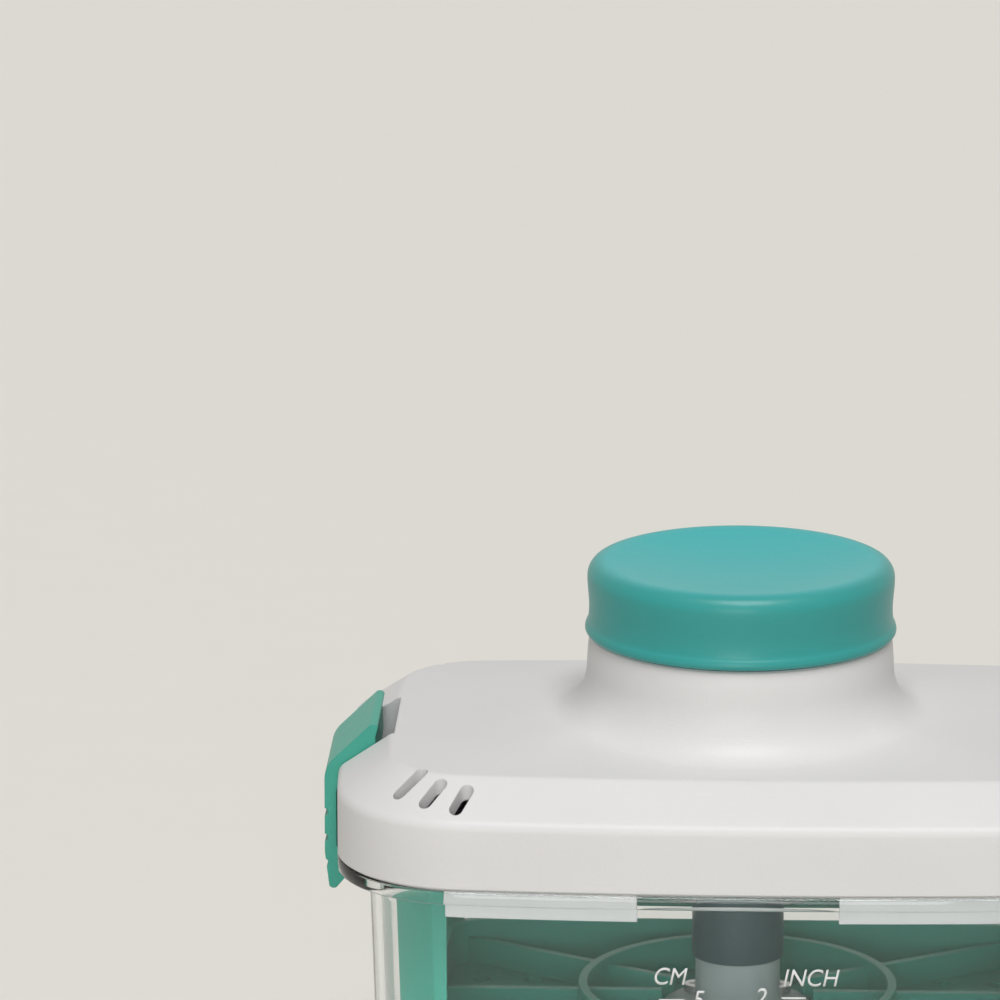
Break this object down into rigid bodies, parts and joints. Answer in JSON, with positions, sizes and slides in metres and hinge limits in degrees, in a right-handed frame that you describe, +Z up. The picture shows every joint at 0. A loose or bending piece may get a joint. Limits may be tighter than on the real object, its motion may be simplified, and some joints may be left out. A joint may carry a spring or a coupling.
{
  "type": "tofu press",
  "caption": "Screw tofu press: clear box with a flange, slotted basket, press plate on a hand screw, white lid with snap latches and a round teal knob.",
  "frame": {"origin": "middle of the container's underside, on the table", "axes": "+Z up through the knob, +X along the length through the right latch, -Y towards the scale"},
  "size_m": [0.188, 0.124, 0.151],
  "materials": {
    "clear_box": "clear polished plastic",
    "teal_plastic": "satin moulded",
    "white_plastic": "satin moulded",
    "grey_plastic": "smooth, slippery",
    "steel": "bright"
  },
  "bodies": {
    "container": {"container": "clear_box"},
    "basket": {"basket": "teal_plastic"},
    "lid": {"lid_shell": "white_plastic", "lid_liner": "white_plastic", "stem_guide": "white_plastic", "liner_screws": "steel", "neck_bush": "grey_plastic", "latch_pin_left": "steel", "latch_pin_right": "steel"},
    "knob": {"knob": "teal_plastic", "drive_screw": "grey_plastic", "knob_screws": "steel", "thrust_washer": "steel", "retaining_ring": "steel"},
    "plate": {"press_plate": "teal_plastic", "drive_nut": "grey_plastic", "stem_foot": "white_plastic", "foot_screws": "steel"},
    "latch_left": {"latch_left": "teal_plastic"},
    "latch_right": {"latch_right": "teal_plastic"}
  },
  "joints": [
    {"name": "lid_lift", "type": "slide", "parent": "container", "child": "lid", "axis": [0, 0, 1], "range_m": [0, 0.2]},
    {"name": "basket_lift", "type": "slide", "parent": "container", "child": "basket", "axis": [0, 0, 1], "range_m": [0, 0.1]},
    {"name": "knob_turn", "type": "hinge", "parent": "lid", "child": "knob", "pos_m": [0, 0, 0.14], "axis": [0, 0, 1], "range_deg": [-1080, 1125]},
    {"name": "plate_travel", "type": "slide", "parent": "lid", "child": "plate", "axis": [0, 0, 1], "range_m": [-0.0245, 0.0255]},
    {"name": "latch_left_swing", "type": "hinge", "parent": "lid", "child": "latch_left", "pos_m": [-0.0852, 0, 0.1066], "axis": [0, 1, 0], "range_deg": [0, 105]},
    {"name": "latch_right_swing", "type": "hinge", "parent": "lid", "child": "latch_right", "pos_m": [0.0852, 0, 0.1066], "axis": [0, -1, 0], "range_deg": [0, 105]}
  ],
  "couplings": [
    {"joint": "basket_lift", "follows": "lid_lift", "ratio": 0.48},
    {"joint": "plate_travel", "follows": "knob_turn", "m_per_rad": 0.0012732}
  ]
}
